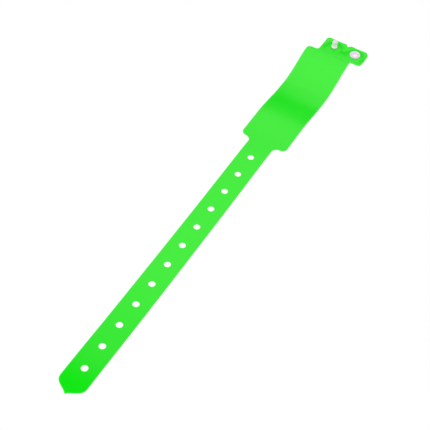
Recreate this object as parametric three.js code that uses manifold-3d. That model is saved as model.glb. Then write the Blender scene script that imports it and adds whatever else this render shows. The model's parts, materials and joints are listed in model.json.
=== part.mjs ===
// Vinyl snap-closure wristband, laid out nearly flat on a table.
//
// The real band is one die-cut sheet of soft vinyl: an ogee-pointed strap with twelve
// punched holes, a wide face panel, a closure tab with a snap stud, and a lobe beside the
// tab that folds over the strap and carries the snap socket. The sheet is divided here along
// straight bend lines into short rigid panels, so that it can wrap round a wrist; a narrow
// clearance is left at each bend line and the hinge axis lies in the middle of the sheet.
//
// Row frame, millimetres: +X along the band from the pointed end to the closure tab,
// +Y towards the side away from the fold-over lobe, +Z up. The origin is the bottom centre of
// the bounding box. "Station" below is the distance along the band from the centre of the
// hole nearest the point (hole 12); stations are turned into X by subtracting STATION_0.

import * as THREE from 'three';
import { mergeVertices } from 'three/addons/utils/BufferGeometryUtils.js';
import Module from 'manifold-3d';

// ---------------------------------------------------------------- driving dimensions
const SHEET_T = 0.4; // vinyl thickness
const HINGE_GAP = 0.3; // clearance at every bend line
const HOLE_PITCH = 12.7; // half an inch
const HOLE_R = 3.175 / 2; // one eighth of an inch punched holes
const HOLE_COUNT = 12;
const STRAP_HALF = 6.6; // half the strap's width
const FACE_HALF = 12.4; // half the face panel's width
const TIP_X = -14.0; // station of the point
const SHOULDER_X = 151.8; // station where the face's end wall rises from the strap
const SHOULDER_FILLET = 3.0; // concave radius from the strap into the wall
const SHOULDER_ROUND = 2.8; // convex radius from the wall into the face's side
const FACE_END_X = 224.6; // station of the bend line between face and tab
const FACE_END_ROUND = 2.5;
const TAB_END_X = 236.8; // station of the free end
const TAB_SIDE_Y = 6.4; // the tab's outer side
const TAB_FILLET = 1.7;
const TAB_ROUND = 2.0;
const FOLD_Y = -6.1; // the lobe's fold line
const LOBE_SIDE_Y = -18.25; // the lobe's outer side
const LOBE_ROUND_FAR = 3.0;
const LOBE_ROUND_NEAR = 2.2;
const NOTCH_DEPTH = 1.5; // V notch at the end of the fold line
const NOTCH_HALF = 1.5;
const SNAP_X = 230.9; // station of the stud and of the socket
const STUD_Y = 0;
const SOCKET_Y = 2 * FOLD_Y - STUD_Y; // mirror of the stud about the fold line

// snap stud: heights are from the middle of the sheet
const SEAT_GAP = 0.12; // clearance between the mouldings and the sheet
const STUD_FLANGE_R = 3.6;
const STUD_FLANGE_T = 0.9;
const STUD_SHANK_R = 1.3;
const STUD_HOLE_R = 1.5;
const STUD_COLLAR_R = 1.62;
const STUD_COLLAR_TOP = 0.72;
const STUD_NECK_R = 1.15;
const STUD_HEAD_LOW = 2.55;
const STUD_HEAD_R = 1.45;
const STUD_HEAD_MID = 3.45;
const STUD_TOP_R = 1.08;
const STUD_TOP = 4.2;

// snap socket
const SOCKET_DISC_R = 2.8;
const SOCKET_DISC_TOP = 1.2;
const SOCKET_BORE_R = 1.68;
const SOCKET_BARREL_R = 2.25;
const SOCKET_HOLE_R = 2.4;
const SOCKET_CAP_R = 3.6;
const SOCKET_CAP_LOW = -2.45;
const SOCKET_FLOOR = -2.0;
const SOCKET_VENT_R = 0.65;

// bend lines, as stations
const FACE_PANELS = 6;
const STRAP_BEND_1 = (HOLE_COUNT - 1) * HOLE_PITCH + HOLE_PITCH / 2; // half a pitch before hole 1
const FACE_PITCH = (FACE_END_X - STRAP_BEND_1) / FACE_PANELS;

// height of the middle of the sheet over its lowest point: the band isn't quite flat, and
// rests on two level stretches, under hole 8 and near the middle of the face
const PROFILE = [
  [-14.0, 0.68], [3.8, 0.5], [25.4, 0.1], [44.0, 0.0], [58.0, 0.0], [76.2, 0.14],
  [101.6, 0.45], [127.0, 1.08], [144.8, 1.5], [153.7, 1.42], [162.6, 1.62], [171.4, 1.85],
  [180.3, 1.22], [188.0, 0.25], [193.5, 0.0], [198.42, 0.0], [203.5, 0.6], [209.5, 2.35],
  [215.9, 4.75], [220.5, 6.02], [FACE_END_X, 6.3],
];

const STATION_0 = (TIP_X + TAB_END_X) / 2;
const Y_0 = (FACE_HALF + LOBE_SIDE_Y) / 2;
const Z_0 = SHEET_T / 2;

// ---------------------------------------------------------------- materials
const vinyl = new THREE.MeshStandardMaterial({ color: 0x35e62e, roughness: 0.42, metalness: 0 });
const snapPlastic = new THREE.MeshStandardMaterial({ color: 0xe6e2e8, roughness: 0.35, metalness: 0 });

// ---------------------------------------------------------------- the sheet's rise
// Cubic Hermite through the table, with slopes from the neighbouring points.
const slopes = PROFILE.map((p, i) => {
  if (i === 0) return (PROFILE[1][1] - p[1]) / (PROFILE[1][0] - p[0]);
  if (i === PROFILE.length - 1) return 0;
  const a = PROFILE[i - 1];
  const b = PROFILE[i + 1];
  const left = (p[1] - a[1]) / (p[0] - a[0]);
  const right = (b[1] - p[1]) / (b[0] - p[0]);
  if (left * right <= 0) return 0;
  const wl = b[0] - p[0];
  const wr = p[0] - a[0];
  return (left * wl + right * wr) / (wl + wr);
});

function rise(s) {
  if (s >= FACE_END_X) return PROFILE[PROFILE.length - 1][1];
  if (s <= PROFILE[0][0]) return PROFILE[0][1] + slopes[0] * (s - PROFILE[0][0]);
  let i = 0;
  while (s > PROFILE[i + 1][0]) i += 1;
  const [x0, z0] = PROFILE[i];
  const [x1, z1] = PROFILE[i + 1];
  const h = x1 - x0;
  const t = (s - x0) / h;
  const t2 = t * t;
  const t3 = t2 * t;
  return (2 * t3 - 3 * t2 + 1) * z0 + (t3 - 2 * t2 + t) * h * slopes[i]
    + (-2 * t3 + 3 * t2) * z1 + (t3 - t2) * h * slopes[i + 1];
}

function normalAt(s) {
  const e = 0.05;
  const lean = (rise(s + e) - rise(s - e)) / (2 * e);
  const n = Math.hypot(1, lean);
  return [-lean / n, 1 / n];
}

// ---------------------------------------------------------------- solid helpers
const wasm = await Module();
wasm.setup();

function toManifold(geometry) {
  const g = geometry.clone();
  g.deleteAttribute('normal');
  g.deleteAttribute('uv');
  const m = mergeVertices(g, 1e-5);
  return new wasm.Manifold(new wasm.Mesh({
    numProp: 3,
    vertProperties: new Float32Array(m.attributes.position.array),
    triVerts: new Uint32Array(m.index.array),
  }));
}

function toMesh(solid, name, material) {
  const out = solid.getMesh();
  const g = new THREE.BufferGeometry();
  g.setAttribute('position', new THREE.BufferAttribute(new Float32Array(out.vertProperties), 3));
  g.setIndex(new THREE.BufferAttribute(new Uint32Array(out.triVerts), 1));
  g.computeVertexNormals();
  const mesh = new THREE.Mesh(g, material);
  mesh.name = name;
  return mesh;
}

// A plan outline (station, y) as a tall prism about the sheet.
function prism(points, holes = []) {
  const shape = new THREE.Shape(points.map(([x, y]) => new THREE.Vector2(x, y)));
  for (const h of holes) shape.holes.push(new THREE.Path(h.map(([x, y]) => new THREE.Vector2(x, y))));
  const g = new THREE.ExtrudeGeometry(shape, { depth: 40, bevelEnabled: false });
  g.translate(0, 0, -20);
  return toManifold(g);
}

// The sheet between two stations and two y values, following its rise.
function slab(s0, s1, y0, y1, steps) {
  const top = [];
  const low = [];
  for (let i = 0; i <= steps; i += 1) {
    const s = s0 + ((s1 - s0) * i) / steps;
    const [nx, nz] = normalAt(s);
    const z = rise(s);
    const end = i === 0 || i === steps; // the end faces stay upright
    top.push(end ? [s, z + SHEET_T / 2 / nz] : [s + (nx * SHEET_T) / 2, z + (nz * SHEET_T) / 2]);
    low.push(end ? [s, z - SHEET_T / 2 / nz] : [s - (nx * SHEET_T) / 2, z - (nz * SHEET_T) / 2]);
  }
  const ring = [...low, ...top.reverse()];
  const shape = new THREE.Shape(ring.map(([x, z]) => new THREE.Vector2(x, z)));
  const g = new THREE.ExtrudeGeometry(shape, { depth: y1 - y0, bevelEnabled: false });
  g.rotateX(Math.PI / 2); // the outline's second axis becomes Z, its depth runs along -Y
  g.translate(0, y1, 0);
  return toManifold(g);
}

function arc(cx, cy, r, fromDeg, toDeg, n) {
  const out = [];
  for (let i = 0; i <= n; i += 1) {
    const a = ((fromDeg + ((toDeg - fromDeg) * i) / n) * Math.PI) / 180;
    out.push([cx + r * Math.cos(a), cy + r * Math.sin(a)]);
  }
  return out;
}

function circle(cx, cy, r, n) {
  return arc(cx, cy, r, 0, 360, n).slice(0, n);
}

// ---------------------------------------------------------------- plan outlines
// One side of the point: an ogee, hollow beside the point and full at the shoulder.
const OGEE = [
  [-14.0, 0], [-13.35, 0.66], [-12.85, 1.35], [-12.3, 2.35], [-11.78, 3.3], [-11.25, 4.15],
  [-10.65, 5.0], [-9.95, 5.75], [-9.1, 6.27], [-8.1, 6.54], [-7.0, STRAP_HALF],
];
const wallEdge = FACE_END_X - HINGE_GAP / 2;

const bandOutline = [
  ...OGEE.map(([x, y]) => [x, -y]),
  ...arc(SHOULDER_X - SHOULDER_FILLET, -STRAP_HALF - SHOULDER_FILLET, SHOULDER_FILLET, 90, 0, 7),
  ...arc(SHOULDER_X + SHOULDER_ROUND, -FACE_HALF + SHOULDER_ROUND, SHOULDER_ROUND, 180, 270, 7),
  ...arc(wallEdge - 0.6, -FACE_HALF + 0.6, 0.6, -90, 0, 3),
  ...arc(wallEdge - FACE_END_ROUND, FACE_HALF - FACE_END_ROUND, FACE_END_ROUND, 0, 90, 7),
  ...arc(SHOULDER_X + SHOULDER_ROUND, FACE_HALF - SHOULDER_ROUND, SHOULDER_ROUND, 90, 180, 7),
  ...arc(SHOULDER_X - SHOULDER_FILLET, STRAP_HALF + SHOULDER_FILLET, SHOULDER_FILLET, 0, -90, 7),
  ...OGEE.slice(1).reverse(),
];
const strapHoles = [];
for (let i = 0; i < HOLE_COUNT; i += 1) strapHoles.push(circle(i * HOLE_PITCH, 0, HOLE_R, 24));
const bandPrism = prism(bandOutline, strapHoles);

const tabStart = FACE_END_X + HINGE_GAP / 2;
const tabOutline = [
  [tabStart, FOLD_Y + HINGE_GAP / 2],
  [TAB_END_X - NOTCH_DEPTH, FOLD_Y + HINGE_GAP / 2],
  [TAB_END_X - 0.25, FOLD_Y + NOTCH_HALF - 0.2],
  [TAB_END_X, FOLD_Y + NOTCH_HALF + 0.25],
  ...arc(TAB_END_X - TAB_ROUND, TAB_SIDE_Y - TAB_ROUND, TAB_ROUND, 0, 90, 6),
  ...arc(tabStart + TAB_FILLET, TAB_SIDE_Y + TAB_FILLET, TAB_FILLET, -90, -180, 6),
];
const lobeOutline = [
  [TAB_END_X - NOTCH_DEPTH, FOLD_Y - HINGE_GAP / 2],
  [tabStart, FOLD_Y - HINGE_GAP / 2],
  ...arc(tabStart + LOBE_ROUND_NEAR, LOBE_SIDE_Y + LOBE_ROUND_NEAR, LOBE_ROUND_NEAR, 180, 270, 6),
  ...arc(TAB_END_X - LOBE_ROUND_FAR, LOBE_SIDE_Y + LOBE_ROUND_FAR, LOBE_ROUND_FAR, -90, 0, 7),
  [TAB_END_X, FOLD_Y - NOTCH_HALF - 0.25],
  [TAB_END_X - 0.25, FOLD_Y - NOTCH_HALF + 0.2],
];

// ---------------------------------------------------------------- the pieces
const group = new THREE.Group();
group.position.set(-STATION_0, -Y_0, Z_0);

// Face panels, numbered from the closure tab towards the strap.
for (let i = 0; i < FACE_PANELS; i += 1) {
  const s1 = FACE_END_X - i * FACE_PITCH;
  const s0 = s1 - FACE_PITCH;
  const sheet = slab(s0 + HINGE_GAP / 2, s1 - HINGE_GAP / 2, -15, 15, 7);
  group.add(toMesh(sheet.intersect(bandPrism), `face_panel_${i + 1}`, vinyl));
}

// Strap links, numbered from the face towards the point, one hole in each.
for (let i = 0; i < HOLE_COUNT; i += 1) {
  const s1 = STRAP_BEND_1 - i * HOLE_PITCH;
  const last = i === HOLE_COUNT - 1;
  const s0 = last ? TIP_X - 1 : s1 - HOLE_PITCH + HINGE_GAP / 2;
  const sheet = slab(s0, s1 - HINGE_GAP / 2, -8, 8, last ? 6 : 4);
  const name = `strap_link_${String(i + 1).padStart(2, '0')}`;
  group.add(toMesh(sheet.intersect(bandPrism), name, vinyl));
}

// The closure tab and the fold-over lobe are level.
const tabSheet = slab(tabStart - 1, TAB_END_X + 1, -20, 10, 1);
const tabPrism = prism(tabOutline, [circle(SNAP_X, STUD_Y, STUD_HOLE_R, 24)]);
const lobePrism = prism(lobeOutline, [circle(SNAP_X, SOCKET_Y, SOCKET_HOLE_R, 28)]);
group.add(toMesh(tabSheet.intersect(tabPrism), 'closure_tab', vinyl));
group.add(toMesh(tabSheet.intersect(lobePrism), 'socket_lobe', vinyl));

// Turned mouldings: a profile of [radius, height] about the post's axis.
function turned(profile, segments, name, x, y) {
  const g = new THREE.LatheGeometry(profile.map(([r, z]) => new THREE.Vector2(r, z)), segments);
  g.rotateX(Math.PI / 2); // the lathe's own axis is Y
  const mesh = new THREE.Mesh(g, snapPlastic);
  mesh.name = name;
  mesh.position.set(x, y, rise(FACE_END_X));
  return mesh;
}

const under = -SHEET_T / 2 - SEAT_GAP;
const over = SHEET_T / 2 + SEAT_GAP;

// Snap stud: flange under the sheet, shank through it, collar, neck and tapered head.
group.add(turned([
  [0, under - STUD_FLANGE_T],
  [STUD_FLANGE_R - 0.35, under - STUD_FLANGE_T],
  [STUD_FLANGE_R - 0.08, under - STUD_FLANGE_T + 0.16],
  [STUD_FLANGE_R, under - STUD_FLANGE_T + 0.42],
  [STUD_FLANGE_R - 0.1, under],
  [STUD_SHANK_R, under],
  [STUD_SHANK_R, over],
  [STUD_COLLAR_R, over],
  [STUD_COLLAR_R, STUD_COLLAR_TOP - 0.1],
  [STUD_COLLAR_R - 0.12, STUD_COLLAR_TOP],
  [STUD_NECK_R, STUD_COLLAR_TOP + 0.12],
  [STUD_NECK_R, STUD_HEAD_LOW],
  [STUD_HEAD_R, STUD_HEAD_LOW + 0.22],
  [STUD_HEAD_R, STUD_HEAD_MID],
  [STUD_TOP_R, STUD_TOP - 0.12],
  [STUD_TOP_R - 0.16, STUD_TOP],
  [0, STUD_TOP],
], 32, 'snap_stud', SNAP_X, STUD_Y));

// Snap socket: a closed ring profile, a disc over the lobe, a barrel through it, a domed
// cap beneath, a well from above that takes the stud's head, and a small vent in its floor.
group.add(turned([
  [SOCKET_BORE_R + 0.1, SOCKET_DISC_TOP],
  [SOCKET_BORE_R, SOCKET_DISC_TOP - 0.12],
  [SOCKET_BORE_R, SOCKET_FLOOR],
  [SOCKET_VENT_R, SOCKET_FLOOR],
  [SOCKET_VENT_R, SOCKET_CAP_LOW],
  [SOCKET_BARREL_R, SOCKET_CAP_LOW],
  [SOCKET_BARREL_R + 0.5, SOCKET_CAP_LOW + 0.3],
  [SOCKET_CAP_R - 0.5, SOCKET_CAP_LOW + 0.95],
  [SOCKET_CAP_R - 0.06, under - 0.55],
  [SOCKET_CAP_R, under - 0.25],
  [SOCKET_CAP_R - 0.08, under],
  [SOCKET_BARREL_R, under],
  [SOCKET_BARREL_R, over],
  [SOCKET_DISC_R - 0.06, over],
  [SOCKET_DISC_R, over + 0.1],
  [SOCKET_DISC_R, SOCKET_DISC_TOP - 0.22],
  [SOCKET_DISC_R - 0.2, SOCKET_DISC_TOP],
  [SOCKET_BORE_R + 0.1, SOCKET_DISC_TOP],
], 32, 'snap_socket', SNAP_X, SOCKET_Y));

export default group;
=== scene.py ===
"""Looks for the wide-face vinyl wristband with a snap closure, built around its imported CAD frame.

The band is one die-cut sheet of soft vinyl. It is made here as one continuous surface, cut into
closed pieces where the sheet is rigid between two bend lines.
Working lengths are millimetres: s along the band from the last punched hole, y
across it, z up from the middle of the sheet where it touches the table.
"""

import json
import math

import bpy
import numpy as np
from mathutils import Matrix, Vector
from mathutils.geometry import delaunay_2d_cdt


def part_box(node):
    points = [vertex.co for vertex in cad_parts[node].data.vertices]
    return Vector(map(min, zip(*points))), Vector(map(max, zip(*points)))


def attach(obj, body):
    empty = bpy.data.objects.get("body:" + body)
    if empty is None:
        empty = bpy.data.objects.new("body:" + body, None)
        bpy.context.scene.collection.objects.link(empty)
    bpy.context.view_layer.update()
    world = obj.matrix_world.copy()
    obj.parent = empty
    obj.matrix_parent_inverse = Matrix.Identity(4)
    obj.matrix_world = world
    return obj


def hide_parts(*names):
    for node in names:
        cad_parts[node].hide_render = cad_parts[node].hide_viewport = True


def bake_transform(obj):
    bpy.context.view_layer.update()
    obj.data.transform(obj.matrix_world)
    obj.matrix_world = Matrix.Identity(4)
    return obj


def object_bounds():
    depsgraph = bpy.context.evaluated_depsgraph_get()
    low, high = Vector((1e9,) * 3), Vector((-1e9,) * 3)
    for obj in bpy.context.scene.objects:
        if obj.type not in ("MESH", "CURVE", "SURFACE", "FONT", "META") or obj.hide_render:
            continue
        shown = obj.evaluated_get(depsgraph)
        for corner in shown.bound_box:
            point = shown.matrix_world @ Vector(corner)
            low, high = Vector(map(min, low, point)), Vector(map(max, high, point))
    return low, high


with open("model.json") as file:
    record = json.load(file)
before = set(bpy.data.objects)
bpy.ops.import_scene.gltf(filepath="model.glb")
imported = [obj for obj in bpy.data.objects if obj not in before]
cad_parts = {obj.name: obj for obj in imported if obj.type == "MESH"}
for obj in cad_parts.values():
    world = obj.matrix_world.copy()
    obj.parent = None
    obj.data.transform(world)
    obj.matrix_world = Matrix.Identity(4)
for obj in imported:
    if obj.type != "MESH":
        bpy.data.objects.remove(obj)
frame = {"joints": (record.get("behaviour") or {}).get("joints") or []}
CAD_BOX = [list(v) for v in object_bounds()]
JOINTS = {j["name"]: j for j in frame["joints"]}

# ------------------------------------------------------------------ camera
cam_data = bpy.data.cameras.new("camera")
cam_data.sensor_fit = "HORIZONTAL"
cam_data.sensor_width = 36.0
cam_data.lens = 84.425
cam_data.clip_start = 0.01
cam_data.clip_end = 20.0
camera = bpy.data.objects.new("camera", cam_data)
bpy.context.scene.collection.objects.link(camera)
camera.matrix_world = Matrix((
    (0.5049552, 0.6435583, -0.5751982, -0.280881),
    (-0.8607383, 0.4251778, -0.2799168, -0.131390),
    (0.0644187, 0.6364406, 0.7686310, 0.360083),
    (0.0, 0.0, 0.0, 1.0),
))
bpy.context.scene.camera = camera

# ------------------------------------------------------------------ dimensions, mm
SHEET_T = 0.4
HOLE_R = 3.1 / 2
PITCH = 12.7
STRAP_HALF = 6.6
FACE_HALF = 12.4
TIP = -14.0
FACE_END = 224.6
TAB_END = 236.8
TAB_SIDE = 6.4
FOLD_Y = -6.1
LOBE_SIDE = -18.25
SNAP_S = 230.9
SOCKET_Y = 2 * FOLD_Y
LOBE_CUT = -3.9  # where the lobe's piece begins, on the tab's rigid side of the fold
SLIT = 0.05  # half the width of the slit that frees the lobe from the face

# where the station frame lies in the row frame, from the CAD itself
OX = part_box("closure_tab")[1].x * 1000 - TAB_END
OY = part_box("socket_lobe")[0].y * 1000 - LOBE_SIDE
OZ = CAD_BOX[0][2] * 1000 + SHEET_T / 2


def metres(p):
    return ((p[0] + OX) / 1000, (p[1] + OY) / 1000, (p[2] + OZ) / 1000)


# ------------------------------------------------------------------ the sheet's height
PROFILE = [
    (-14.0, 0.68), (3.8, 0.5), (25.4, 0.1), (44.0, 0.0), (58.0, 0.0), (76.2, 0.14),
    (101.6, 0.45), (127.0, 1.08), (144.8, 1.5), (153.7, 1.42), (162.6, 1.62), (171.4, 1.85),
    (180.3, 1.22), (188.0, 0.25), (193.5, 0.0), (198.42, 0.0), (203.5, 0.6), (209.5, 2.35),
    (215.9, 4.75), (220.5, 6.02), (224.6, 6.3),
]


def hermite():
    n = len(PROFILE)
    slope = [0.0] * n
    slope[0] = (PROFILE[1][1] - PROFILE[0][1]) / (PROFILE[1][0] - PROFILE[0][0])
    for i in range(1, n - 1):
        (ax, az), (px, pz), (bx, bz) = PROFILE[i - 1], PROFILE[i], PROFILE[i + 1]
        left, right = (pz - az) / (px - ax), (bz - pz) / (bx - px)
        slope[i] = 0.0 if left * right <= 0 else (left * (bx - px) + right * (px - ax)) / (bx - ax)
    grid = np.arange(-20.0, 245.0, 0.1)
    out = np.empty_like(grid)
    for k, s in enumerate(grid):
        if s >= PROFILE[-1][0]:
            out[k] = PROFILE[-1][1]
            continue
        if s <= PROFILE[0][0]:
            out[k] = PROFILE[0][1] + slope[0] * (s - PROFILE[0][0])
            continue
        i = max(j for j in range(n - 1) if PROFILE[j][0] <= s)
        (x0, z0), (x1, z1) = PROFILE[i], PROFILE[i + 1]
        h = x1 - x0
        t = (s - x0) / h
        out[k] = ((2 * t**3 - 3 * t**2 + 1) * z0 + (t**3 - 2 * t**2 + t) * h * slope[i]
                  + (-2 * t**3 + 3 * t**2) * z1 + (t**3 - t**2) * h * slope[i + 1])
    sigma = 14  # grid steps: the vinyl is too stiff to bend more sharply than this
    kernel = np.exp(-0.5 * (np.arange(-50, 51) / sigma) ** 2)
    kernel /= kernel.sum()
    padded = np.pad(out, 50, mode="edge")
    return grid, np.convolve(padded, kernel, mode="valid")


RISE_S, RISE_Z = hermite()


def smooth(x, lo, hi):
    t = np.clip((x - lo) / (hi - lo), 0, 1)
    return t * t * (3 - 2 * t)


def height(s, y):
    """Height of the middle of the sheet, with what the snap and the punch do to it."""
    s, y = np.asarray(s, float), np.asarray(y, float)
    z = np.interp(s, RISE_S, RISE_Z)
    # soft vinyl is never quite flat: long shallow waves, more on the wide face
    wide = smooth(s, 150, 175) * (1 - smooth(s, 216, 223))
    z = z + 0.05 * wide * np.sin(s / 9.1 + 0.4) * np.sin(y / 6.3 + 0.7)
    z = z + 0.022 * (1 - smooth(s, 205, 222)) * np.sin(s / 13.7 + 1.1) * np.cos(y / 5.2 + s / 41)
    # the face is a little crowned across, where it lifts to the tab
    z = z - 0.12 * wide * (y / FACE_HALF) ** 2 * smooth(s, 160, 200)
    # the sheet is drawn up over the flange and the cap, and dips around them
    for cy, rim in ((0.0, 2.35), (SOCKET_Y, 3.0)):
        r = np.hypot(s - SNAP_S, y - cy)
        up = 0.11 * (1 - smooth(r, rim, 4.6)) * smooth(r, 1.2, 2.2)
        dip = -0.26 * smooth(r, rim, 4.9) * (1 - smooth(r, 5.0, 7.4)) * smooth(s, SNAP_S - 3.4, SNAP_S + 0.6)
        z = z + up * smooth(s, FACE_END + 0.6, FACE_END + 3.2) + dip
    # a hole punched in soft sheet leaves its rim turned down very slightly
    hole = np.clip(np.round(s / PITCH), 0, 11) * PITCH
    r = np.hypot(s - hole, y)
    z = z - 0.035 * np.exp(-((np.maximum(r - HOLE_R, 0) / 0.5) ** 2))
    return z


def place(s, y, h):
    """Row-frame points of (s, y) at height h off the middle of the sheet, along its normal."""
    e = 0.12
    zs = (height(s + e, y) - height(s - e, y)) / (2 * e)
    zy = (height(s, y + e) - height(s, y - e)) / (2 * e)
    n = np.sqrt(1 + zs**2 + zy**2)
    x = s - h * zs / n
    yy = y - h * zy / n
    z = height(s, y) + h / n
    return np.stack([(x + OX) / 1000, (yy + OY) / 1000, (z + OZ) / 1000], 1)


# ------------------------------------------------------------------ the cut outline
def arc(cx, cy, r, a0, a1, n):
    return [(cx + r * math.cos(math.radians(a0 + (a1 - a0) * i / n)),
             cy + r * math.sin(math.radians(a0 + (a1 - a0) * i / n))) for i in range(n + 1)]


def through(points, per):
    """A smooth curve through the points, centripetal so that it doesn't loop."""
    p = [np.array(q, float) for q in points]
    p = [2 * p[0] - p[1]] + p + [2 * p[-1] - p[-2]]
    out = []
    for i in range(1, len(p) - 2):
        t = [0.0]
        for a, b in zip(p[i - 1:i + 2], p[i:i + 3]):
            t.append(t[-1] + max(np.linalg.norm(b - a), 1e-6) ** 0.5)
        for k in range(per):
            u = t[1] + (t[2] - t[1]) * k / per
            a1 = ((t[1] - u) * p[i - 1] + (u - t[0]) * p[i]) / (t[1] - t[0])
            a2 = ((t[2] - u) * p[i] + (u - t[1]) * p[i + 1]) / (t[2] - t[1])
            a3 = ((t[3] - u) * p[i + 1] + (u - t[2]) * p[i + 2]) / (t[3] - t[2])
            b1 = ((t[2] - u) * a1 + (u - t[0]) * a2) / (t[2] - t[0])
            b2 = ((t[3] - u) * a2 + (u - t[1]) * a3) / (t[3] - t[1])
            out.append(tuple(((t[2] - u) * b1 + (u - t[1]) * b2) / (t[2] - t[1])))
    out.append(tuple(points[-1]))
    return out


OGEE = [
    (-14.0, 0), (-13.35, 0.66), (-12.85, 1.35), (-12.3, 2.35), (-11.78, 3.3), (-11.25, 4.15),
    (-10.65, 5.0), (-9.95, 5.75), (-9.1, 6.27), (-8.1, 6.54), (-7.0, STRAP_HALF),
]
STEP = 0.75  # spacing of the surface mesh
GRID_Y = [STEP * i for i in range(-25, 18)]


def straight(a, b):
    n = max(1, int(round(math.dist(a, b) / STEP)))
    return [(a[0] + (b[0] - a[0]) * i / n, a[1] + (b[1] - a[1]) * i / n) for i in range(n + 1)]


def joined(*runs):
    out = []
    for run in runs:
        for p in run:
            if not out or math.dist(p, out[-1]) > 1e-6:
                out.append(tuple(p))
    return out


# the +y side from the point to the tab, and the -y side from the point to the face's end
UPPER = joined(
    through(OGEE, 4),
    [(148.8, STRAP_HALF)],
    arc(148.8, STRAP_HALF + 3.0, 3.0, -90, 0, 14),
    arc(154.6, FACE_HALF - 2.8, 2.8, 180, 90, 14),
    [(222.1, FACE_HALF)],
    arc(222.1, FACE_HALF - 2.5, 2.5, 90, 0, 14),
    arc(226.3, TAB_SIDE + 1.7, 1.7, 180, 270, 10),
    arc(234.8, TAB_SIDE - 2.0, 2.0, 90, 0, 12),
)
LOWER = joined(
    [(x, -y) for x, y in through(OGEE, 4)],
    [(148.8, -STRAP_HALF)],
    arc(148.8, -STRAP_HALF - 3.0, 3.0, 90, 0, 14),
    arc(154.6, -FACE_HALF + 2.8, 2.8, 180, 270, 14),
    arc(FACE_END - SLIT - 0.6, -FACE_HALF + 0.6, 0.6, -90, 0, 5),
)


def between(path, s0, s1):
    """The part of a side path between two stations, with its long runs divided."""
    out = []
    for a, b in zip(path[:-1], path[1:]):
        if b[0] < s0 - 1e-9 or a[0] > s1 + 1e-9:
            continue
        pa, pb = a, b
        if a[0] < s0:
            t = (s0 - a[0]) / (b[0] - a[0])
            pa = (s0, a[1] + (b[1] - a[1]) * t)
        if b[0] > s1:
            t = (s1 - a[0]) / (b[0] - a[0])
            pb = (s1, a[1] + (b[1] - a[1]) * t)
        out = joined(out, straight(pa, pb))
    return out


def cut_at_s(s, half, low=-99.0, high=99.0):
    """Points across the sheet at a station, ends left out: the same for both pieces."""
    return [(s, y) for y in GRID_Y if abs(y) < half - 0.4 and low < y < high]


def notch(s, side):
    """Half of a punched hole's wall, bowed towards side (+1 is +s), from -y to +y."""
    n = 28
    return [(s + side * HOLE_R * math.cos(math.radians(-90 + 180 * i / n)),
             HOLE_R * math.sin(math.radians(-90 + 180 * i / n))) for i in range(n + 1)]


def half_at(s):
    return FACE_HALF if s > 152 else STRAP_HALF


# ------------------------------------------------------------------ closed pieces of sheet
LAYERS = [(0.13, 0.2), (0.065, 0.188), (0.018, 0.15), (0.0, 0.09), (0.0, -0.09), (0.018, -0.15),
          (0.065, -0.188), (0.13, -0.2)]


def offset_loop(loop, wall, r):
    """Moves a counter-clockwise loop's wall edges inward by r and leaves its cut edges."""
    n = len(loop)
    out = []
    for i in range(n):
        p = np.array(loop[i])
        a, b = np.array(loop[i - 1]), np.array(loop[(i + 1) % n])
        d0, d1 = p - a, b - p
        d0, d1 = d0 / np.linalg.norm(d0), d1 / np.linalg.norm(d1)
        n0, n1 = np.array([-d0[1], d0[0]]), np.array([-d1[1], d1[0]])
        r0, r1 = (r if wall[i - 1] else 0.0), (r if wall[i] else 0.0)
        det = d0[0] * d1[1] - d0[1] * d1[0]
        if abs(det) < 0.02:
            m = n0 + n1
            m = m / np.linalg.norm(m)
            out.append(tuple(p + m * (r0 + r1) / 2))
            continue
        # x.n0 = r0 and x.n1 = r1, x from p
        k = np.array([n0, n1])
        out.append(tuple(p + np.linalg.solve(k, np.array([r0, r1]))))
    return out


def inside(points, loop):
    x, y = points[:, 0], points[:, 1]
    res = np.zeros(len(points), bool)
    n = len(loop)
    for i in range(n):
        (x0, y0), (x1, y1) = loop[i], loop[(i + 1) % n]
        if y0 == y1:
            continue
        hit = ((y0 > y) != (y1 > y)) & (x < (x1 - x0) * (y - y0) / (y1 - y0) + x0)
        res ^= hit
    return res


def distance(points, loop):
    a = np.array(loop)
    b = np.roll(a, -1, 0)
    best = np.full(len(points), 1e9)
    for p, q in zip(a, b):
        d = q - p
        t = np.clip(((points - p) @ d) / max(d @ d, 1e-12), 0, 1)
        best = np.minimum(best, np.linalg.norm(points - (p + t[:, None] * d), axis=1))
    return best


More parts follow.
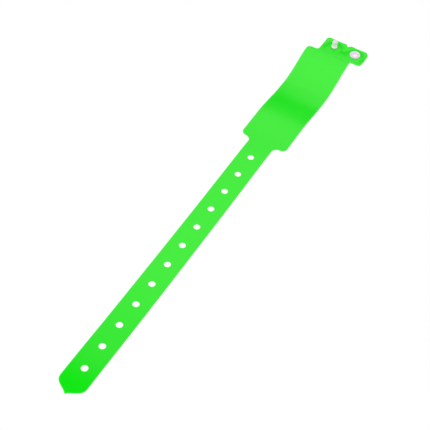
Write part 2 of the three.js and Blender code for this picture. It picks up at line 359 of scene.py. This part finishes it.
def sheet_piece(name, loop, wall, holes, material, rows=(), cross_rows=(), halves=()):
    """A closed piece of vinyl. loop runs counter-clockwise, wall says which of its edges are
    real cut walls (the others are seams inside the sheet), holes are (s, y, r)."""
    rings = [(loop, wall)]
    for cs, cy, r in holes:
        n = 56 if r > 1.55 else 44
        ring = [(cs + r * math.cos(-2 * math.pi * i / n), cy + r * math.sin(-2 * math.pi * i / n))
                for i in range(n)]
        rings.append((ring, [True] * n))
    tops = [offset_loop(lp, w, LAYERS[0][0]) for lp, w in rings]
    # inner points: an even grid, kept off the edges, with a ring of its own round each hole
    lo, hi = np.min(loop, 0), np.max(loop, 0)
    ss = set(np.round(np.arange(math.ceil(lo[0] / STEP) * STEP, hi[0], STEP), 4))
    near = [v for v, _ in rows]
    ss = sorted([v for v in ss if all(abs(v - c) > 0.45 for c in near)] + [v for _, v in rows])
    pts = np.array([(s, y) for s in ss for y in GRID_Y])
    keep = inside(pts, loop)
    pts = pts[keep]
    walls = np.array([p for p, q, w in zip(loop, loop[1:] + loop[:1], wall) if w for p in (p, q)])
    seg = [(np.array(p), np.array(q)) for p, q, w in zip(loop, loop[1:] + loop[:1], wall) if w]
    d = np.full(len(pts), 1e9)
    for p, q in seg:
        v = q - p
        t = np.clip(((pts - p) @ v) / max(v @ v, 1e-12), 0, 1)
        d = np.minimum(d, np.linalg.norm(pts - (p + t[:, None] * v), axis=1))
    pts = pts[d > 0.42]
    if len(walls):
        dc = distance(pts, loop)
        pts = pts[dc > 0.05]
    extra = [(p, row) for row in cross_rows for p in ss if FACE_END + 0.5 < p < TAB_END - 0.5]
    if cross_rows:
        pts = pts[np.min([abs(pts[:, 1] - c) for c in cross_rows], 0) > 0.3]
    for cs, cy, r in holes:
        pts = pts[np.hypot(pts[:, 0] - cs, pts[:, 1] - cy) > r + 1.0]
        for dr, n in ((0.33, 48), (0.66, 40)):
            for i in range(n):
                a = 2 * math.pi * (i + 0.5) / n
                extra.append((cs + (r + dr) * math.cos(a), cy + (r + dr) * math.sin(a)))
    for cs, side in halves:
        pts = pts[np.hypot(pts[:, 0] - cs, pts[:, 1]) > HOLE_R + 1.0]
        for dr, n in ((0.33, 48), (0.66, 40)):
            for i in range(n):
                a = 2 * math.pi * (i + 0.5) / n
                if side * math.cos(a) * (HOLE_R + dr) > 0.12:
                    extra.append((cs + (HOLE_R + dr) * math.cos(a), (HOLE_R + dr) * math.sin(a)))
    if extra:
        pts = np.vstack([pts, np.array(extra)])
    flat = [Vector(p) for ring in tops for p in ring]
    edges, base = [], 0
    for ring in tops:
        n = len(ring)
        edges += [(base + i, base + (i + 1) % n) for i in range(n)]
        base += n
    loop_count = base
    flat += [Vector(p) for p in pts]
    out_v, _, out_f, orig_v, _, _ = delaunay_2d_cdt(flat, edges, [], 0, 1e-7)
    index = [o[0] if o else None for o in orig_v]
    if any(i is None for i in index) or len(out_v) != len(flat):
        raise RuntimeError(f"{name}: the outline crosses itself ({len(out_v)} of {len(flat)} points)")
    cents = np.array([np.mean([[*out_v[i]] for i in f], 0) for f in out_f])
    ok = inside(cents, tops[0])
    for ring in tops[1:]:
        ok &= ~inside(cents, ring)
    tris = []
    for f, good in zip(out_f, ok):
        if not good:
            continue
        a, b, c = (index[i] for i in f)
        pa, pb, pc = flat[a], flat[b], flat[c]
        if (pb - pa).cross(pc - pa) < 0:
            b, c = c, b
        tris.append((a, b, c))
    # vertices: top loops and inner points, then each lower layer's loops, then the bottom
    rest, faces, edge_val = [], [], []
    inner = [tuple(p) for p in pts]
    for ring in tops:
        rest += [(p[0], p[1], LAYERS[0][1]) for p in ring]
    rest += [(p[0], p[1], LAYERS[0][1]) for p in inner]
    at_wall = [w[i] or w[i - 1] for _, w in rings for i in range(len(w))]
    edge_val += [0.35 * v for v in at_wall] + [0.0] * len(inner)
    at = [0]
    for inset, h in LAYERS[1:-1]:
        at.append(len(rest))
        for lp, w in rings:
            rest += [(p[0], p[1], h) for p in offset_loop(lp, w, inset)]
        edge_val += [1.0 * v for v in at_wall]
    at.append(len(rest))
    for ring in tops:
        rest += [(p[0], p[1], LAYERS[-1][1]) for p in ring]
    rest += [(p[0], p[1], LAYERS[-1][1]) for p in inner]
    edge_val += [0.35 * v for v in at_wall] + [0.0] * len(inner)
    faces += tris
    bottom = at[-1]
    faces += [(bottom + c, bottom + b, bottom + a) for a, b, c in tris]
    sharp = set()
    base = 0
    for lp, w in rings:
        n = len(lp)
        for i in range(n):
            j = (i + 1) % n
            for u, v in zip(at[:-1], at[1:]):
                faces.append((u + base + i, v + base + i, v + base + j, u + base + j))
            if not w[i]:
                for layer in (at[0], at[-1]):
                    sharp.add(frozenset((layer + base + i, layer + base + j)))
            if w[i - 1] != w[i]:
                for u, v in zip(at[:-1], at[1:]):
                    sharp.add(frozenset((u + base + i, v + base + i)))
        base += n
    rest = np.array(rest)
    co = place(rest[:, 0], rest[:, 1], rest[:, 2])
    mesh = bpy.data.meshes.new(name)
    mesh.from_pydata([tuple(p) for p in co], [], faces)
    mesh.validate()
    mesh.update()
    seam_faces = set()
    base = 0
    start = 2 * len(tris)
    k = start
    for lp, w in rings:
        for i in range(len(lp)):
            for _ in range(len(at) - 1):
                if not w[i]:
                    seam_faces.add(k)
                k += 1
    for e in mesh.edges:
        if frozenset(e.vertices) in sharp:
            e.use_edge_sharp = True
    for poly in mesh.polygons:
        poly.use_smooth = True
    uv = mesh.uv_layers.new(name="sheet")
    lv = np.zeros(len(mesh.loops), np.int32)
    mesh.loops.foreach_get("vertex_index", lv)
    # metres along and across the sheet as it was cut, with the wall folded out beside it
    across = rest[lv, 1] + (LAYERS[0][1] - np.abs(rest[lv, 2])) * np.sign(rest[lv, 1] + 1e-9) * 0.5
    uv.data.foreach_set("uv", np.stack([rest[lv, 0] / 1000 + 0.02, across / 1000 + 0.03], 1)
                        .astype(np.float32).ravel())
    att = mesh.attributes.new("cut_wall", "FLOAT", "POINT")
    att.data.foreach_set("value", np.array(edge_val, np.float32))
    mesh.materials.append(material)
    obj = bpy.data.objects.new(name, mesh)
    bpy.context.scene.collection.objects.link(obj)
    return obj


# ------------------------------------------------------------------ node helpers
def node(tree, kind, at=(0, 0), **values):
    n = tree.nodes.new(kind)
    n.location = at
    for key, v in values.items():
        setattr(n, key, v)
    return n


def new_material(name):
    m = bpy.data.materials.new(name)
    m.use_nodes = True
    t = m.node_tree
    t.nodes.clear()
    out = node(t, "ShaderNodeOutputMaterial", (900, 0))
    bsdf = node(t, "ShaderNodeBsdfPrincipled", (600, 0))
    t.links.new(bsdf.outputs["BSDF"], out.inputs["Surface"])
    return m, t, bsdf


def noise(t, vector, scale, detail=2.0, rough=0.5, at=(0, 0)):
    n = node(t, "ShaderNodeTexNoise", at)
    n.inputs["Scale"].default_value = scale
    n.inputs["Detail"].default_value = detail
    n.inputs["Roughness"].default_value = rough
    t.links.new(vector, n.inputs["Vector"])
    return n.outputs["Fac"]


def remap(t, value, a, b, c, d, at=(0, 0), kind="LINEAR"):
    n = node(t, "ShaderNodeMapRange", at)
    n.interpolation_type = kind
    for key, v in zip(("From Min", "From Max", "To Min", "To Max"), (a, b, c, d)):
        n.inputs[key].default_value = v
    t.links.new(value, n.inputs["Value"])
    return n.outputs["Result"]


def math_node(t, op, a, b=None, at=(0, 0)):
    n = node(t, "ShaderNodeMath", at, operation=op)
    for i, v in enumerate((a, b)):
        if v is None:
            continue
        if isinstance(v, (int, float)):
            n.inputs[i].default_value = v
        else:
            t.links.new(v, n.inputs[i])
    return n.outputs[0]


def mix_colour(t, fac, a, b, at=(0, 0)):
    n = node(t, "ShaderNodeMix", at, data_type="RGBA")
    for key, v in ((6, a), (7, b)):
        if isinstance(v, tuple):
            n.inputs[key].default_value = v
        else:
            t.links.new(v, n.inputs[key])
    if isinstance(fac, (int, float)):
        n.inputs[0].default_value = fac
    else:
        t.links.new(fac, n.inputs[0])
    return n.outputs[2]


# ------------------------------------------------------------------ vinyl
def vinyl_material():
    m, t, bsdf = new_material("neon_vinyl")
    uv = node(t, "ShaderNodeUVMap", (-1400, 0), uv_map="sheet").outputs["UV"]
    wall = node(t, "ShaderNodeAttribute", (-1400, -300), attribute_name="cut_wall").outputs["Fac"]
    sep = node(t, "ShaderNodeSeparateXYZ", (-1200, -500))
    t.links.new(uv, sep.inputs[0])
    along, across = sep.outputs[0], sep.outputs[1]
    # colour: the dye is even, the sheet a touch milkier where the plasticiser has bloomed
    broad = noise(t, uv, 34.0, 3.0, 0.55, (-1100, 300))
    cloud = noise(t, uv, 150.0, 4.0, 0.6, (-1100, 120))
    grain = noise(t, uv, 2400.0, 2.0, 0.5, (-1100, -60))
    milky = math_node(t, "ADD", math_node(t, "MULTIPLY", broad, 0.55), math_node(t, "MULTIPLY", cloud, 0.45))
    milky = remap(t, milky, 0.32, 0.68, 0.0, 1.0, (-700, 250))
    body = mix_colour(t, milky, (0.0, 0.780, 0.002, 1), (0.003, 0.805, 0.006, 1), (-450, 300))
    # painted shade: the pointed end is pushed to a deeper green, standing in for the pale sheen it reflects less
    # of
    tip_painted_shade = remap(t, along, 0.006, 0.05, 1.0, 0.0, (-700, -450), "SMOOTHSTEP")
    body = mix_colour(t, math_node(t, "MULTIPLY", tip_painted_shade, 0.85), body, (0.0, 0.79, 0.001, 1), (-250, 300))
    # a cut wall scatters light out of the sheet and looks paler
    body = mix_colour(t, math_node(t, "MULTIPLY", wall, 0.55), body, (0.085, 0.86, 0.10, 1), (-50, 300))
    t.links.new(body, bsdf.inputs["Base Color"])
    # finish: calendered matte skin, polished a little where it has been handled
    streak_map = node(t, "ShaderNodeMapping", (-1250, -800))
    streak_map.inputs["Scale"].default_value = (60.0, 900.0, 1.0)
    t.links.new(uv, streak_map.inputs["Vector"])
    streak = noise(t, streak_map.outputs[0], 1.0, 3.0, 0.6, (-1050, -800))
    rough = math_node(t, "ADD", math_node(t, "MULTIPLY", cloud, 0.10), math_node(t, "MULTIPLY", streak, 0.08))
    rough = math_node(t, "ADD", rough, math_node(t, "MULTIPLY", grain, 0.04))
    rough = remap(t, rough, 0.05, 0.17, 0.19, 0.27, (-450, -200))
    rough = math_node(t, "ADD", rough, math_node(t, "MULTIPLY", wall, 0.12))
    t.links.new(rough, bsdf.inputs["Roughness"])
    bsdf.inputs["IOR"].default_value = 1.5
    # the point is dulled, where it has been pushed through the keeper and handled
    dull = remap(t, along, 0.011, 0.026, 0.16, 0.5, (-450, -420), "SMOOTHSTEP")
    t.links.new(dull, bsdf.inputs["Specular IOR Level"])
    # surface: fine grain, soft orange peel, and long drawing lines along the sheet
    peel = noise(t, uv, 520.0, 3.0, 0.5, (-1100, -1100))
    height_sum = math_node(t, "ADD", math_node(t, "MULTIPLY", grain, 0.25), math_node(t, "MULTIPLY", peel, 0.55))
    height_sum = math_node(t, "ADD", height_sum, math_node(t, "MULTIPLY", streak, 0.35))
    bump = node(t, "ShaderNodeBump", (300, -400))
    bump.inputs["Strength"].default_value = 0.22
    bump.inputs["Distance"].default_value = 0.00006
    t.links.new(height_sum, bump.inputs["Height"])
    t.links.new(bump.outputs["Normal"], bsdf.inputs["Normal"])
    return m


def snap_material():
    m, t, bsdf = new_material("moulded_snap_plastic")
    co = node(t, "ShaderNodeTexCoord", (-1200, 0)).outputs["Object"]
    cloud = noise(t, co, 900.0, 3.0, 0.5, (-900, 200))
    fine = noise(t, co, 5200.0, 3.0, 0.6, (-900, 0))
    swirl_map = node(t, "ShaderNodeMapping", (-1050, -300))
    swirl_map.inputs["Scale"].default_value = (400.0, 400.0, 2600.0)
    t.links.new(co, swirl_map.inputs["Vector"])
    flow = noise(t, swirl_map.outputs[0], 1.0, 4.0, 0.55, (-850, -300))
    fac = remap(t, math_node(t, "ADD", math_node(t, "MULTIPLY", cloud, 0.6), math_node(t, "MULTIPLY", flow, 0.4)),
                0.35, 0.65, 0.0, 1.0, (-500, 200))
    colour = mix_colour(t, fac, (0.755, 0.665, 0.770, 1), (0.815, 0.745, 0.825, 1), (-250, 200))
    t.links.new(colour, bsdf.inputs["Base Color"])
    rough = remap(t, fine, 0.3, 0.7, 0.24, 0.36, (-250, -50))
    t.links.new(rough, bsdf.inputs["Roughness"])
    bsdf.inputs["IOR"].default_value = 1.48
    # painted light: the well's floor and lower wall, and faintly the stud's neck, glow with a pale emission
    # though no lamp lights them
    painted_glow = node(t, "ShaderNodeAttribute", (-500, -500), attribute_name="painted_glow_mask").outputs["Fac"]
    bsdf.inputs["Emission Color"].default_value = (1.0, 0.95, 1.0, 1)
    t.links.new(math_node(t, "MULTIPLY", painted_glow, 0.62), bsdf.inputs["Emission Strength"])
    bump = node(t, "ShaderNodeBump", (200, -300))
    bump.inputs["Strength"].default_value = 0.12
    bump.inputs["Distance"].default_value = 0.00003
    t.links.new(math_node(t, "ADD", math_node(t, "MULTIPLY", fine, 0.4), math_node(t, "MULTIPLY", flow, 0.6)),
                bump.inputs["Height"])
    t.links.new(bump.outputs["Normal"], bsdf.inputs["Normal"])
    return m


VINYL = vinyl_material()
SNAP = snap_material()

# ------------------------------------------------------------------ the band
NODES = ["closure_tab"] + [f"face_panel_{i}" for i in range(1, 7)] + [f"strap_link_{i:02d}" for i in range(1, 13)]
HINGE_NAMES = ["bend_tab", "bend_face_1", "bend_face_2", "wrap", "bend_face_4", "bend_face_5", "bend_face_6"]
for _k in range(7, 18):
    HINGE_NAMES.append("strap_press" if _k == 11 else f"bend_strap_{_k - 6:02d}")
HINGE = [JOINTS[n]["pos_m"][0] * 1000 - OX for n in HINGE_NAMES]

# seams lie where the sheet is rigid: halfway between face bends, and across the strap's holes
SEAMS = [(HINGE[k] + HINGE[k + 1]) / 2 for k in range(5)]
SEAMS.append(155.3)
SEAMS += [(11 - k) * PITCH for k in range(0, 11)]

bodies_made = []
for k in range(18):
    s1 = TAB_END if k == 0 else SEAMS[k - 1]
    s0 = TIP if k == 17 else SEAMS[k]
    rows = []
    loop, wall = [], []

    def run(points, is_wall):
        """Adds a run of points whose edges, up to the next run's first point, are of one kind."""
        for p in points:
            if loop and math.dist(p, loop[-1]) < 1e-6:
                wall[-1] = is_wall
                continue
            loop.append(tuple(p))
            wall.append(is_wall)

    low = between(LOWER, s0, min(s1, FACE_END))
    up = between(UPPER, s0, s1)
    run(low, True)
    if k == 0:
        corner = low[-1]
        run(straight(corner, (FACE_END - SLIT, LOBE_CUT)), True)
        run(straight((FACE_END - SLIT, LOBE_CUT), (TAB_END, LOBE_CUT)), False)
        run(straight((TAB_END, LOBE_CUT), up[-1]), True)
    else:
        if k > 6:
            run([low[-1]] + cut_at_s(s1, STRAP_HALF, high=-HOLE_R - 0.3), False)
            run(notch(s1, -1), True)
            run([(s1, HOLE_R)] + cut_at_s(s1, STRAP_HALF, low=HOLE_R + 0.3), False)
        else:
            run([low[-1]] + cut_at_s(s1, half_at(s1)), False)
        rows.append((s1, s1 - 0.09))
    run(list(reversed(up)), True)
    if k != 17:
        if k > 5:
            run([up[0]] + list(reversed(cut_at_s(s0, STRAP_HALF, low=HOLE_R + 0.3))), False)
            run(list(reversed(notch(s0, 1))), True)
            run([(s0, -HOLE_R)] + list(reversed(cut_at_s(s0, STRAP_HALF, high=-HOLE_R - 0.3))), False)
        else:
            run([up[0]] + list(reversed(cut_at_s(s0, half_at(s0)))), False)
        rows.append((s0, s0 + 0.09))
    if math.dist(loop[0], loop[-1]) < 1e-6:
        loop.pop()
        wall.pop()
    holes = []
    if k == 0:
        holes = [(SNAP_S, 0.0, 1.5)]
    if k == 17:
        holes = [(0.0, 0.0, HOLE_R)]
    halves = [(s, side) for s, side, use in ((s1, -1, k > 6), (s0, 1, 5 < k < 17)) if use]
    name = "vinyl_tab" if k == 0 else f"vinyl_face_{k}" if k < 7 else f"vinyl_strap_{k - 6:02d}"
    piece = sheet_piece(name, loop, wall, holes, VINYL, rows, (LOBE_CUT + 0.09,) if k == 0 else (), halves)
    if k == 0:
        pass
    elif k <= 4:
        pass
    elif k == 5:
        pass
    else:
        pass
    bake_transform(piece)
    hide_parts(NODES[k], NODES[k + 1])
    bodies_made.append(piece)

# the fold-over lobe
loop, wall = [], []


def lobe_run(points, is_wall):
    for p in points:
        if loop and math.dist(p, loop[-1]) < 1e-6:
            wall[-1] = is_wall
            continue
        loop.append(tuple(p))
        wall.append(is_wall)


S0 = FACE_END + SLIT
lobe_run(straight((TAB_END, LOBE_CUT), (S0, LOBE_CUT)), False)
lobe_run(straight((S0, LOBE_CUT), (S0, LOBE_SIDE + 2.2)), True)
lobe_run(arc(S0 + 2.2, LOBE_SIDE + 2.2, 2.2, 180, 270, 12), True)
lobe_run(straight((S0 + 2.2, LOBE_SIDE), (TAB_END - 3.0, LOBE_SIDE)), True)
lobe_run(arc(TAB_END - 3.0, LOBE_SIDE + 3.0, 3.0, -90, 0, 14), True)
lobe_run(straight((TAB_END, LOBE_SIDE + 3.0), (TAB_END, FOLD_Y - 1.95)), True)
lobe_run(arc(TAB_END - 0.5, FOLD_Y - 1.75, 0.5, 10, 50, 3), True)
lobe_run(arc(TAB_END - 1.28, FOLD_Y, 0.28, -130, -230, 6), True)
lobe_run(arc(TAB_END - 0.5, FOLD_Y + 1.75, 0.5, -50, -10, 3), True)
lobe_run([(TAB_END, FOLD_Y + 1.95), (TAB_END, LOBE_CUT)], True)
loop.pop()
wall.pop()
lobe = sheet_piece("vinyl_lobe", loop, wall, [(SNAP_S, SOCKET_Y, 2.4)], VINYL,
                   cross_rows=(LOBE_CUT - 0.09,))
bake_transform(lobe)
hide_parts("socket_lobe", "closure_tab")


# ------------------------------------------------------------------ the snap
def rounded(profile, n=5):
    """A closed or open profile of (radius, height, corner radius), its corners made arcs."""
    out = []
    m = len(profile)
    for i, (r, h, c) in enumerate(profile):
        p = np.array([r, h], float)
        if c <= 0 or i in (0, m - 1):
            out.append(p)
            continue
        a, b = np.array(profile[i - 1][:2], float), np.array(profile[i + 1][:2], float)
        u, v = (a - p) / np.linalg.norm(a - p), (b - p) / np.linalg.norm(b - p)
        ang = math.acos(float(np.clip(u @ v, -1, 1)))
        if ang > math.pi - 0.05:
            out.append(p)
            continue
        back = min(c / math.tan(ang / 2), 0.48 * np.linalg.norm(a - p), 0.48 * np.linalg.norm(b - p))
        rad = back * math.tan(ang / 2)
        centre = p + (u + v) / np.linalg.norm(u + v) * (rad / math.sin(ang / 2))
        s, e = p + u * back - centre, p + v * back - centre
        a0, a1 = math.atan2(s[1], s[0]), math.atan2(e[1], e[0])
        d = (a1 - a0 + math.pi) % (2 * math.pi) - math.pi
        for j in range(n + 1):
            t = a0 + d * j / n
            out.append(centre + rad * np.array([math.cos(t), math.sin(t)]))
    return out


def turned(name, profile, closed, s, y, material, segments=96, well=False):
    """A turned moulding: profile of (radius, height) runs from its underside outwards and up."""
    prof = rounded(profile)
    z0 = float(np.interp(SNAP_S, RISE_S, RISE_Z))
    verts, faces, rings = [], [], []
    for r, h in prof:
        if r < 1e-6:
            rings.append([len(verts)])
            verts.append(metres((s, y, z0 + h)))
            continue
        ring = []
        for i in range(segments):
            a = 2 * math.pi * i / segments
            ring.append(len(verts))
            verts.append(metres((s + r * math.cos(a), y + r * math.sin(a), z0 + h)))
        rings.append(ring)
    pairs = list(zip(rings[:-1], rings[1:]))
    if closed:
        pairs.append((rings[-1], rings[0]))
    for a, b in pairs:
        if len(a) == 1 and len(b) == 1:
            continue
        for i in range(segments):
            j = (i + 1) % segments
            if len(a) == 1:
                faces.append((a[0], b[j], b[i]))
            elif len(b) == 1:
                faces.append((a[i], a[j], b[0]))
            else:
                faces.append((a[i], a[j], b[j], b[i]))
    mesh = bpy.data.meshes.new(name)
    mesh.from_pydata(verts, [], faces)
    mesh.validate()
    for poly in mesh.polygons:
        poly.use_smooth = True
    mesh.update()
    # painted light: how strongly each ring glows, most on the well's floor and lower wall, faintly on the stud's
    # neck
    painted_glow = mesh.attributes.new("painted_glow_mask", "FLOAT", "POINT")
    value = []
    for (r, h), ring in zip(prof, rings):
        glow = float(r < 1.72 and h > -2.05) * float(np.clip((0.2 - h) / 2.0, 0, 1)) ** 3 if well else 0.22 * float(0.6 < h < 2.9)
        value += [glow] * len(ring)
    painted_glow.data.foreach_set("value", value)
    mesh.materials.append(material)
    obj = bpy.data.objects.new(name, mesh)
    bpy.context.scene.collection.objects.link(obj)
    return obj


UNDER, OVER = -0.32, 0.32
stud = turned("snap_stud_moulding", [
    (0, UNDER - 0.80, 0), (0.42, UNDER - 0.80, 0.08), (0.55, UNDER - 0.90, 0.06),  # gate mark
    (2.55, UNDER - 0.90, 0.1), (2.75, UNDER - 0.82, 0.1), (2.95, UNDER - 0.90, 0.1),  # ejector ring
    (3.32, UNDER - 0.90, 0.2), (3.6, UNDER - 0.50, 0.18), (3.5, UNDER, 0.08),
    (1.3, UNDER, 0.05), (1.3, OVER, 0.05), (1.62, OVER, 0.06), (1.62, 0.66, 0.12), (1.18, 0.84, 0.2),
    (1.15, 2.5, 0.3), (1.45, 2.76, 0.16), (1.45, 3.45, 0.5), (1.12, 4.06, 0.3), (0.92, 4.2, 0.12),
    (0.34, 4.2, 0.05), (0.26, 4.14, 0.04), (0, 4.13, 0),
], False, SNAP_S, 0.0, SNAP)
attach(stud, "tab")
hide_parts("snap_stud")

# the well has the inner lip that grips the stud's head once the lobe is closed over it
socket = turned("snap_socket_moulding", [
    (0.65, -2.45, 0.06), (2.25, -2.45, 0.3), (2.75, -2.15, 0.3), (3.1, -1.5, 0.3), (3.54, -0.87, 0.25),
    (3.6, -0.57, 0.15), (3.5, UNDER, 0.08), (2.25, UNDER, 0.05), (2.25, OVER, 0.05), (2.74, OVER, 0.05),
    (2.8, 0.45, 0.08), (2.8, 0.92, 0.25), (2.56, 1.2, 0.22), (2.25, 1.19, 0.1), (1.98, 1.08, 0.15),
    (1.42, 0.84, 0.12), (1.27, 0.72, 0.08), (1.27, 0.56, 0.06), (1.68, 0.34, 0.1), (1.68, -1.75, 0.25),
    (1.45, -2.0, 0.15), (0.72, -2.0, 0.06), (0.65, -2.1, 0.04),
], True, SNAP_S, SOCKET_Y, SNAP, well=True)
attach(socket, "lobe")
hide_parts("snap_socket")


# ------------------------------------------------------------------ floor, a flag and light
def plane(name, centre, right, up, half_w, half_h, material):
    c, r, u = Vector(centre), Vector(right).normalized(), Vector(up).normalized()
    mesh = bpy.data.meshes.new(name)
    mesh.from_pydata([c - r * half_w - u * half_h, c + r * half_w - u * half_h,
                      c + r * half_w + u * half_h, c - r * half_w + u * half_h], [], [(0, 1, 2, 3)])
    mesh.materials.append(material)
    o = bpy.data.objects.new(name, mesh)
    bpy.context.scene.collection.objects.link(o)
    return o


pale, pt, pb = new_material("pale_floor")
pco = node(pt, "ShaderNodeTexCoord", (-600, 0)).outputs["Object"]
pt.links.new(mix_colour(pt, noise(pt, pco, 30.0, 3.0, 0.5, (-400, 0)), (0.86, 0.86, 0.86, 1),
                        (0.90, 0.90, 0.90, 1), (-150, 0)), pb.inputs["Base Color"])
pb.inputs["Roughness"].default_value = 0.9
floor = plane("floor", (0, 0, CAD_BOX[0][2] - 0.0002), (1, 0, 0), (0, 1, 0), 1.5, 1.5, pale)
floor.visible_camera = False  # the photograph's ground is pure white, and a wrapped band hangs below it
floor.visible_shadow = False

# a flag over the pointed end, seen only in reflections: solid there and thinning out along the band
dark, dt, db = new_material("dark_flag")
dt.nodes.remove(db)
de = node(dt, "ShaderNodeEmission", (300, 0))
de.inputs["Color"].default_value = (0.0, 0.0, 0.0, 1)
de.inputs["Strength"].default_value = 1.0
dc = node(dt, "ShaderNodeBsdfTransparent", (300, -150))
dm = node(dt, "ShaderNodeMixShader", (600, 0))
dgen = node(dt, "ShaderNodeTexCoord", (-600, 0)).outputs["Generated"]
dsep = node(dt, "ShaderNodeSeparateXYZ", (-400, 0))
dt.links.new(dgen, dsep.inputs[0])
dramp = node(dt, "ShaderNodeValToRGB", (-150, 0))
FLAG = (-50.0, 112.0)  # stations it spans
stops = [(20, 1.0), (29, 0.97), (36, 0.72), (46, 0.6), (58, 0.42), (77, 0.26), (105, 0.0)]
ramp = dramp.color_ramp
while len(ramp.elements) < len(stops):
    ramp.elements.new(0.5)
for el, (at_s, a) in zip(ramp.elements, stops):
    el.position = (at_s - FLAG[0]) / (FLAG[1] - FLAG[0])
    el.color = (a, a, a, 1)
dt.links.new(dsep.outputs[0], dramp.inputs[0])
dt.links.new(dramp.outputs[0], dm.inputs[0])
dt.links.new(dc.outputs[0], dm.inputs[1])
dt.links.new(de.outputs[0], dm.inputs[2])
dt.links.new(dm.outputs[0], [n for n in dt.nodes if n.type == "OUTPUT_MATERIAL"][0].inputs["Surface"])
flag = plane("flag_over_point", metres(((FLAG[0] + FLAG[1]) / 2, 29, 77)), (1, 0, 0), (0, 1, 0),
             (FLAG[1] - FLAG[0]) / 2000, 0.055, dark)
flag.visible_camera = flag.visible_diffuse = flag.visible_shadow = flag.visible_transmission = False
flag.visible_volume_scatter = False

key_data = bpy.data.lights.new("key", "AREA")
key_data.shape = "DISK"
key_data.size = 0.16
key_data.energy = 1.0
key = bpy.data.objects.new("key", key_data)
key.location = (-0.25, 0.55, 0.75)
key.rotation_mode = "QUATERNION"
key.rotation_quaternion = (Vector((0.08, 0, 0)) - key.location).to_track_quat("-Z", "Y")
bpy.context.scene.collection.objects.link(key)

world = bpy.data.worlds.new("studio")
bpy.context.scene.world = world
world.use_nodes = True
wt = world.node_tree
wt.nodes.clear()
wo = node(wt, "ShaderNodeOutputWorld", (900, 0))
path = node(wt, "ShaderNodeLightPath", (-600, 300))
seen = node(wt, "ShaderNodeBackground", (0, 300))
seen.inputs["Strength"].default_value = 1.0
seen.inputs["Color"].default_value = (1, 1, 1, 1)
fill = node(wt, "ShaderNodeBackground", (0, 100))
fill.inputs["Color"].default_value = (1, 1, 1, 1)
fill.inputs["Strength"].default_value = 0.95
gloss = node(wt, "ShaderNodeBackground", (0, -150))
gloss.inputs["Color"].default_value = (1.0, 0.85, 0.72, 1)
direction = node(wt, "ShaderNodeTexCoord", (-900, -150)).outputs["Generated"]
split = node(wt, "ShaderNodeSeparateXYZ", (-700, -150))
wt.links.new(direction, split.inputs[0])
low_wall = remap(wt, split.outputs[2], 0.51, 0.77, 0.13, 1.68, (-450, -150), "SMOOTHSTEP")
ceiling = remap(wt, split.outputs[2], 0.84, 1.0, 0.0, 0.5, (-450, -400), "SMOOTHSTEP")
wt.links.new(math_node(wt, "ADD", low_wall, ceiling, (-200, -250)), gloss.inputs["Strength"])
m1 = node(wt, "ShaderNodeMixShader", (300, 0))
m2 = node(wt, "ShaderNodeMixShader", (600, 0))
wt.links.new(path.outputs["Is Glossy Ray"], m1.inputs[0])
wt.links.new(fill.outputs[0], m1.inputs[1])
wt.links.new(gloss.outputs[0], m1.inputs[2])
wt.links.new(path.outputs["Is Camera Ray"], m2.inputs[0])
wt.links.new(m1.outputs[0], m2.inputs[1])
wt.links.new(seen.outputs[0], m2.inputs[2])
wt.links.new(m2.outputs[0], wo.inputs["Surface"])

view = bpy.context.scene.view_settings
view.view_transform = "Standard"
view.look = "None"
view.exposure = 0.0
view.gamma = 1.0
